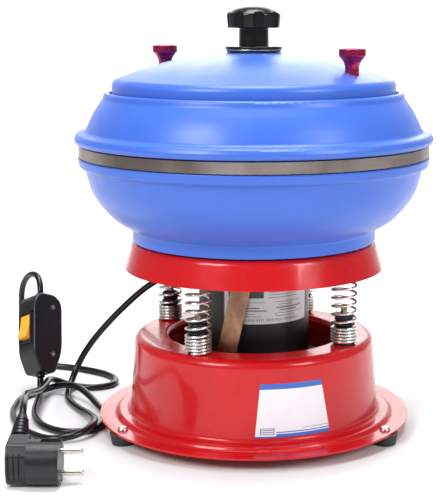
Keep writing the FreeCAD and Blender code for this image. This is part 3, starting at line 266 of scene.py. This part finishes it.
LOOKS = {
    "base_shell": RED, "support_dish": RED, "rubber_feet": FOOT, "foot_screws": ZINC,
    "foot_nuts": ZINC, "spring_buffers": BUFFER, "buffer_bolts": BRASS, "spring_guides": BRASS,
    "motor_straps": STRAP, "strap_bolts": STRAP, "strap_nuts": STRAP, "motor_bolts": ZINC,
    "motor_top_bell": MOTOR, "motor_bottom_bell": MOTOR, "motor_housing": MOTOR,
    "motor_stator": IRON, "motor_windings": COPPER, "motor_bearings": STEEL, "motor_pad": SEAL,
    "rotor_core": IRON, "motor_shaft": STEEL, "eccentric_weight": STEEL, "weight_nut": ZINC,
    "cord_gland": CORD, "bowl": BLUE, "bowl_gasket": SEAL, "bowl_seal": SEAL, "bowl_cover": BLUE,
    "clamp_band": BAND, "clamp_bolt": ZINC, "clamp_nut": ZINC, "lid": BLUE, "lid_seal": SEAL,
    "lid_knobs": MAGENTA, "lid_knob_nuts": ZINC, "centre_stud": ZINC, "stud_nuts": ZINC,
    "post_washer": ZINC, "knob_seal": SEAL, "knob_plate": ZINC, "knob_flange": KNOB,
    "star_knob": KNOB, "knob_insert": ZINC, "switch_screws": ZINC, "switch_bezel": SWITCH,
    "switch_rocker": ROCKER, "switch_reliefs": SWITCH, "switch_front": SWITCH,
    "switch_back": SWITCH, "plug_body": PLUG, "plug_relief": PLUG, "plug_pins": NICKEL,
    "plug_earth_clips": NICKEL,
}
for name, material in LOOKS.items():
    node = NODES[name]
    node.data.materials.clear()
    node.data.materials.append(material)

# ---------------------------------------------------------------- mesh helpers


def mesh_object(name, points, faces, material):
    """Smooth-shaded mesh object in one material."""
    mesh = bpy.data.meshes.new(name)
    mesh.from_pydata(points, [], faces)
    mesh.materials.append(material)
    mesh.update()
    mesh.polygons.foreach_set("use_smooth", [True] * len(mesh.polygons))
    thing = bpy.data.objects.new(name, mesh)
    scene.collection.objects.link(thing)
    return thing


def add_tube(points, faces, path, radius, sides):
    """Round tube along a path, added to the lists, with a flat face at each end."""
    first = len(points)
    side = None
    count = len(path)
    for i, here in enumerate(path):
        along = (path[min(i + 1, count - 1)] - path[max(i - 1, 0)]).normalized()
        if side is None:
            side = along.orthogonal().normalized()
        side = (side - along * side.dot(along)).normalized()
        other = along.cross(side)
        for k in range(sides):
            turn = 2 * math.pi * k / sides
            points.append(here + side * (radius * math.cos(turn)) + other * (radius * math.sin(turn)))
    for i in range(count - 1):
        for k in range(sides):
            a = first + i * sides + k
            b = first + i * sides + (k + 1) % sides
            faces.append((a, b, b + sides, a + sides))
    faces.append(tuple(first + k for k in reversed(range(sides))))
    faces.append(tuple(first + (count - 1) * sides + k for k in range(sides)))


# ---------------------------------------------------------------- cords

CORD_RADIUS = 0.0033
CORD_SIDES = 20
SWITCH_FOOT = (-0.2187, 0.0804, 0.0200)
SWITCH_HEAD = (-0.2236, 0.1250, 0.0974)
SUPPLY_ROUTE = [
    (-0.0583, 0.0583, 0.131), (-0.0742, 0.0742, 0.131), (-0.103, 0.082, 0.12),
    (-0.139, 0.093, 0.086), (-0.168, 0.106, 0.052), (-0.184, 0.113, 0.026), (-0.192, 0.095, 0.004),
    (-0.189, 0.06, 0.0034), (-0.173, 0.026, 0.0034), (-0.156, -0.004, 0.0065),
    (-0.1475, -0.037, 0.011), (-0.158, -0.064, 0.007), (-0.185, -0.07, 0.0034),
    (-0.209, -0.05, 0.0034), (-0.226, -0.021, 0.0034), (-0.236, 0.012, 0.0034),
    (-0.237, 0.041, 0.0034), (-0.235, 0.065, 0.0034), (-0.222, 0.085, 0.0036),
    (-0.2, 0.088, 0.0095), (-0.181, 0.075, 0.013), (-0.166, 0.054, 0.009), (-0.153, 0.031, 0.0038),
    (-0.142, 0.007, 0.0034), (-0.141, -0.018, 0.0034), (-0.151, -0.043, 0.0034),
    (-0.176, -0.048, 0.0034), (-0.199, -0.03, 0.0034), (-0.211, -0.003, 0.0034),
    (-0.216, 0.025, 0.0034), (-0.2168, 0.05, 0.0038), (-0.2179, 0.0734, 0.0079), SWITCH_FOOT,
]
PLUG_ROUTE = [
    SWITCH_HEAD, (-0.2246, 0.1345, 0.1136), (-0.238, 0.151, 0.115), (-0.25, 0.164, 0.099),
    (-0.252, 0.168, 0.072), (-0.252, 0.17, 0.045), (-0.248, 0.176, 0.02), (-0.232, 0.183, 0.0045),
    (-0.207, 0.18, 0.0034), (-0.182, 0.168, 0.0034), (-0.16, 0.152, 0.0034),
    (-0.146, 0.132, 0.0034), (-0.147, 0.109, 0.0034), (-0.168, 0.097, 0.0034),
    (-0.192, 0.107, 0.0034), (-0.211, 0.094, 0.0155), (-0.2098, 0.065, 0.019),
    (-0.21, 0.028, 0.022), (-0.212, -0.012, 0.031), (-0.209, -0.05, 0.042), (-0.204, -0.088, 0.052),
    (-0.2, -0.118, 0.054), (-0.199, -0.132, 0.046),
]


def smooth_line(name, route):
    """The cord's centre line: a NURBS spline through its control points."""
    curve = bpy.data.curves.new(name, "CURVE")
    curve.dimensions = "3D"
    spline = curve.splines.new("NURBS")
    spline.points.add(len(route) - 1)
    for point, place in zip(spline.points, route):
        point.co = (*place, 1.0)
    spline.order_u = 3
    spline.use_endpoint_u = True
    spline.resolution_u = 10
    curve.resolution_u = 10
    return curve


def line_points(curve):
    """The points along a curve, in order, as Blender draws it."""
    holder = bpy.data.objects.new("line_holder", curve)
    scene.collection.objects.link(holder)
    bpy.context.view_layer.update()
    mesh = bpy.data.meshes.new_from_object(holder)
    found = [vertex.co.copy() for vertex in mesh.vertices]
    bpy.data.objects.remove(holder)
    bpy.data.meshes.remove(mesh)
    return found


supply_path = line_points(smooth_line("supply_line", SUPPLY_ROUTE))
points, faces = [], []
add_tube(points, faces, supply_path, CORD_RADIUS, CORD_SIDES)
supply = mesh_object("supply_lead", points, faces, CORD)
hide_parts("supply_cord")
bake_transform(supply)

plug_path = line_points(smooth_line("plug_line", PLUG_ROUTE))
points, faces = [], []
add_tube(points, faces, plug_path, CORD_RADIUS, CORD_SIDES)
plug_lead = mesh_object("plug_lead", points, faces, CORD)
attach(plug_lead, "base")
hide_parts("plug_cord")

# ---------------------------------------------------------------- coil springs, open turns spread to fill the gap

SPRING_ANGLES = [-121.0 + 90.0 * k for k in range(4)]
SPRING_CIRCLE = 0.096
SPRING_RADIUS = 0.01095
WIRE = 0.0026
WIRE_SIDES = 10
BASE_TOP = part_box("base_shell")[1][2]
DISH_UNDER = 0.176
CLOSED_TURNS = 5.0
ALL_TURNS = 14.5
TOP_TURNS = 0.6
CLOSED_PITCH = WIRE + 0.00035
EASING_TURNS = 0.3
POINTS_PER_TURN = 26


def opened(turns_past):
    """How far a coil has opened: 0 while closed, 1 once open, easing between them."""
    return min(max((turns_past + EASING_TURNS) / (2 * EASING_TURNS), 0), 1)


def spring_path(angle):
    """Centre line of one spring: closed turns, then open turns up to a closed end."""
    start_turn = math.radians(angle)
    middle = Vector((SPRING_CIRCLE * math.cos(start_turn), SPRING_CIRCLE * math.sin(start_turn), 0))
    low = BASE_TOP + WIRE / 2 + 0.0001
    high = DISH_UNDER - WIRE / 2 - 0.0002
    climb = []
    for i in range(int(ALL_TURNS * POINTS_PER_TURN) + 1):
        turn = i / POINTS_PER_TURN
        climb.append(opened(turn - CLOSED_TURNS) * opened(ALL_TURNS - TOP_TURNS - turn))
    spare = ((high - low) - CLOSED_PITCH * ALL_TURNS) / sum(climb)
    path, z = [], low
    for i, share in enumerate(climb):
        turn = 2 * math.pi * i / POINTS_PER_TURN + start_turn
        path.append(middle + Vector((SPRING_RADIUS * math.cos(turn), SPRING_RADIUS * math.sin(turn), z)))
        z += CLOSED_PITCH / POINTS_PER_TURN + spare * share
    return path


points, faces = [], []
for angle in SPRING_ANGLES:
    add_tube(points, faces, spring_path(angle), WIRE / 2, WIRE_SIDES)
springs = mesh_object("coil_springs", points, faces, SPRING)
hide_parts("suspension_springs")
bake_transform(springs)

# ---------------------------------------------------------------- sticker and rating plate


def flat_colour(name, colour, rough=0.32, metal=0.0):
    """Printed film: an even colour with a faint mottle under a thin gloss."""
    return painted(name, colour, tuple(c * 0.94 for c in colour), rough, metal=metal, fine=1500,
                   fine_bump=0.03, wave=60, rough_spread=0.03, coat=0.2, coat_rough=0.1)


FILM_OUTSIDE = 0.00022
FILM_INSIDE = 0.00002
DRUM_FOOT_RADIUS = 0.1179
DRUM_FOOT_HEIGHT = 0.0168
DRUM_TAPER = 0.0734
STICKER_HEIGHTS = (0.0212, 0.0690)
STICKER_CELLS = (120, 100)
PLATE_RADIUS = 0.05203
PLATE_BEARINGS = (-32.0, 66.0)
PLATE_HEIGHTS = (0.107, 0.148)
PLATE_CELLS = (170, 66)

WHITE_FILM, BLUE_INK, DARK_INK, PALE_INK = range(4)
STICKER_LOOKS = [
    flat_colour("sticker_white", (0.82, 0.79, 0.83)),
    flat_colour("sticker_blue", (0.030, 0.130, 0.560)),
    flat_colour("sticker_dark", (0.035, 0.035, 0.045)),
    flat_colour("sticker_pale", (0.62, 0.66, 0.78)),
]


def wrapped_print(name, radius_at, bearings_at, heights, cells, looks, pick):
    """A printed film bent round the Z axis, with every cell of its grid given one of the looks.

    Bearings are degrees from the front, positive to the right. The film has a printed outer
    face, an inner face and four narrow edges.
    """
    low, high = heights
    columns, rows = cells
    points, faces, indices = [], [], []
    for lift in (FILM_OUTSIDE, FILM_INSIDE):
        for j in range(rows + 1):
            v = j / rows
            z = low + (high - low) * v
            start, end = bearings_at(v)
            for i in range(columns + 1):
                bearing = math.radians(start + (end - start) * i / columns)
                reach = radius_at(z) + lift
                points.append(Vector((reach * math.sin(bearing), -reach * math.cos(bearing), z)))
    wide = columns + 1
    back = wide * (rows + 1)
    for j in range(rows):
        for i in range(columns):
            a = j * wide + i
            faces.append((a, a + 1, a + 1 + wide, a + wide))
            indices.append(pick((i + 0.5) / columns, (j + 0.5) / rows))
            faces.append((back + a, back + a + wide, back + a + 1 + wide, back + a + 1))
            indices.append(0)
    for i in range(columns):
        faces.append((i + 1, i, back + i, back + i + 1))
        top = rows * wide + i
        faces.append((top, top + 1, back + top + 1, back + top))
        indices += [0, 0]
    for j in range(rows):
        left = j * wide
        faces.append((left, left + wide, back + left + wide, back + left))
        right = j * wide + columns
        faces.append((right + wide, right, back + right, back + right + wide))
        indices += [0, 0]
    film = mesh_object(name, points, faces, looks[0])
    for look in looks[1:]:
        film.data.materials.append(look)
    film.data.polygons.foreach_set("material_index", indices)
    return film


def drum_wall(z):
    """Radius of the drum's tapered wall at a height."""
    return DRUM_FOOT_RADIUS - DRUM_TAPER * (z - DRUM_FOOT_HEIGHT)


def sticker_bearings(v):
    """The sticker's left and right edges at a share of its height: it narrows upwards."""
    return 0.4 + 2.4 * v, 35.0 - 3.6 * v


def sticker_pick(u, v):
    """Blue bands at top and bottom with thin lines, a pale field and a small dark box with bars."""
    if v > 0.90:
        return BLUE_INK
    in_foot_band = v < 0.115 and not (u < 0.27 and v > 0.03)
    if in_foot_band:
        return BLUE_INK if v < 0.075 or v > 0.09 else WHITE_FILM
    if 0.145 < v < 0.157 and u > 0.62:
        return BLUE_INK
    if 0.055 < u < 0.245 and 0.055 < v < 0.185:
        edge = u < 0.068 or u > 0.232 or v < 0.067 or v > 0.173
        bar = 0.10 < v < 0.115 or 0.135 < v < 0.15
        return DARK_INK if edge or bar else PALE_INK
    return WHITE_FILM


sticker = wrapped_print("printed_sticker", drum_wall, sticker_bearings, STICKER_HEIGHTS, STICKER_CELLS,
                        STICKER_LOOKS, sticker_pick)
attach(sticker, "base")
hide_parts("base_sticker")

SILVER, PLATE_DARK, PLATE_GREY = range(3)
PLATE_LOOKS = [
    flat_colour("plate_silver", (0.62, 0.62, 0.63), 0.30, 0.25),
    flat_colour("plate_dark", (0.020, 0.022, 0.028), 0.35),
    flat_colour("plate_grey", (0.20, 0.20, 0.21), 0.40),
]
LEFT_BAR_STARTS = 0.10
LEFT_BAR_ENDS = (0.40, 0.34, 0.46, 0.38, 0.30, 0.44)
RIGHT_BARS = ((0.56, 0.80), (0.54, 0.90), (0.60, 0.82), (0.56, 0.88), (0.58, 0.76), (0.56, 0.86))
BARS_LOW, BARS_HIGH = 0.18, 0.56


def in_row_bar(u, v):
    """Whether a spot lies on one of the two grey bars in its row."""
    row = (v - BARS_LOW) / (BARS_HIGH - BARS_LOW) * len(RIGHT_BARS)
    if row % 1 >= 0.34:
        return False
    right_start, right_end = RIGHT_BARS[int(row)]
    return LEFT_BAR_STARTS < u < LEFT_BAR_ENDS[int(row)] or right_start < u < right_end


def plate_pick(u, v):
    """Pale plate with a dark heading block, rows of grey bars and a strip of fine upright bars."""
    if u < 0.012 or u > 0.988 or v < 0.02:
        return PLATE_DARK
    if v > 0.60 and 0.06 < u < 0.43:
        return PLATE_DARK
    heading_bar = v > 0.60 and 0.48 < u < 0.82 and (v * 33) % 2 < 0.6
    upright_bar = 0.07 < v < 0.13 and 0.16 < u < 0.86 and (u * 90) % 2 < 0.9
    row_bar = BARS_LOW < v < BARS_HIGH and in_row_bar(u, v)
    return PLATE_GREY if heading_bar or upright_bar or row_bar else SILVER


plate = wrapped_print("rating_plate", lambda z: PLATE_RADIUS, lambda v: PLATE_BEARINGS, PLATE_HEIGHTS,
                      PLATE_CELLS, PLATE_LOOKS, plate_pick)
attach(plate, "upper")
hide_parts("motor_label")

# ---------------------------------------------------------------- floor and lights


FLOOR_REACH = 4.0
WALL_TOP = 3.0
CURVE_START = 2.2
CURVE_RADIUS = 0.8
CURVE_STEPS = 12


def add_floor():
    """Pale floor that curves up into a back wall."""
    points = [(-FLOOR_REACH, -FLOOR_REACH, 0), (FLOOR_REACH, -FLOOR_REACH, 0)]
    for k in range(CURVE_STEPS + 1):
        turn = math.pi / 2 * k / CURVE_STEPS
        back = CURVE_START + CURVE_RADIUS * math.sin(turn)
        rise = CURVE_RADIUS - CURVE_RADIUS * math.cos(turn)
        points += [(-FLOOR_REACH, back, rise), (FLOOR_REACH, back, rise)]
    wall = CURVE_START + CURVE_RADIUS
    points += [(-FLOOR_REACH, wall, WALL_TOP), (FLOOR_REACH, wall, WALL_TOP)]
    faces = [(2 * i, 2 * i + 1, 2 * i + 3, 2 * i + 2) for i in range(len(points) // 2 - 1)]
    material, _, shader = nodes_of("pale_floor")
    shader.inputs["Base Color"].default_value = (0.80, 0.80, 0.80, 1)
    shader.inputs["Roughness"].default_value = 0.7
    shader.inputs["Specular IOR Level"].default_value = 0.1
    floor = mesh_object("studio_floor", points, faces, material)


add_floor()


def add_light(name, place, target, size, power):
    """Square soft light at a place, turned towards its target."""
    data = bpy.data.lights.new(name, "AREA")
    data.shape = "RECTANGLE"
    data.size = size
    data.size_y = size
    data.energy = power
    lamp = bpy.data.objects.new(name, data)
    lamp.location = place
    lamp.rotation_euler = (Vector(target) - Vector(place)).to_track_quat("-Z", "Y").to_euler()
    scene.collection.objects.link(lamp)


add_light("key", (-1.3, -1.5, 1.6), (0, 0, 0.22), 0.9, 36)
add_light("fill", (1.5, -1.3, 1.2), (0, 0, 0.22), 0.7, 20)
add_light("top", (0, 0.1, 2.2), (0, 0, 0.1), 1.3, 52)
add_light("back", (0.2, 2.0, 1.3), (0, 0, 0.2), 1.5, 14)
add_light("backdrop", (0, 1.3, 1.9), (0, 3.0, 0.7), 1.6, 42)
world = bpy.data.worlds.new("studio")
world.use_nodes = True
world.node_tree.nodes["Background"].inputs["Color"].default_value = (1, 1, 1, 1)
world.node_tree.nodes["Background"].inputs["Strength"].default_value = 0.28
scene.world = world
scene.view_settings.view_transform = "Standard"
